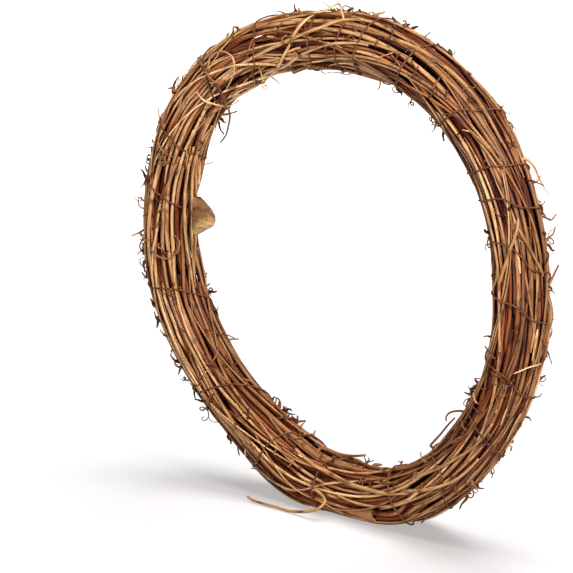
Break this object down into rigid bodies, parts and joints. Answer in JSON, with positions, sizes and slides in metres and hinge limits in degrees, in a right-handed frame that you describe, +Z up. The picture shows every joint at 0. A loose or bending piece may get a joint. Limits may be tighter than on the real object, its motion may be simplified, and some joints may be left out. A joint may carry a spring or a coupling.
{
  "type": "grapevine wreath",
  "caption": "Standing ring of long thin dry grapevine stems held by one spirally wound wire, with twigs, tendrils, a caught leaf and a bark flake",
  "frame": {"origin": "under the middle of the ring, on the surface that it stands on", "axes": "+Z up, the ring stands in the XZ plane, its axis along Y and its visible face towards -Y"},
  "size_m": [0.2993, 0.0568, 0.2959],
  "materials": {
    "vine_bark_light": "dry vine bark, pale tan, matt",
    "vine_bark_brown": "dry vine bark, orange brown, matt",
    "vine_bark_dark": "dry vine bark, dark grey brown, matt",
    "rusty_wire": "thin annealed binding wire, brown with rust",
    "dried_leaf": "dry leaf, golden tan, satin",
    "bark_flake": "loose chip of bark, matt"
  },
  "bodies": {
    "root": {"bark_flake": "bark_flake", "binding_wire": "rusty_wire", "dried_leaf": "dried_leaf", "vine_01": "vine_bark_brown", "vine_02": "vine_bark_brown", "vine_03": "vine_bark_light", "vine_04": "vine_bark_dark", "vine_05": "vine_bark_light", "vine_06": "vine_bark_brown", "vine_07": "vine_bark_brown", "vine_08": "vine_bark_light", "vine_09": "vine_bark_dark", "vine_10": "vine_bark_light", "vine_11": "vine_bark_brown", "vine_12": "vine_bark_brown", "vine_13": "vine_bark_light", "vine_14": "vine_bark_dark", "vine_15": "vine_bark_light", "vine_16": "vine_bark_brown", "vine_17": "vine_bark_brown", "vine_18": "vine_bark_light", "vine_19": "vine_bark_dark", "vine_20": "vine_bark_light", "vine_21": "vine_bark_brown", "vine_22": "vine_bark_brown", "vine_23": "vine_bark_light", "vine_24": "vine_bark_dark", "vine_25": "vine_bark_light", "vine_26": "vine_bark_brown", "vine_27": "vine_bark_brown", "vine_28": "vine_bark_light", "vine_29": "vine_bark_dark", "vine_30": "vine_bark_light", "vine_31": "vine_bark_brown", "vine_32": "vine_bark_brown", "vine_33": "vine_bark_light", "vine_34": "vine_bark_dark", "vine_35": "vine_bark_light", "vine_36": "vine_bark_brown", "vine_37": "vine_bark_brown", "vine_38": "vine_bark_light", "vine_39": "vine_bark_dark", "vine_40": "vine_bark_light", "vine_41": "vine_bark_brown", "vine_42": "vine_bark_brown"}
  },
  "joints": []
}
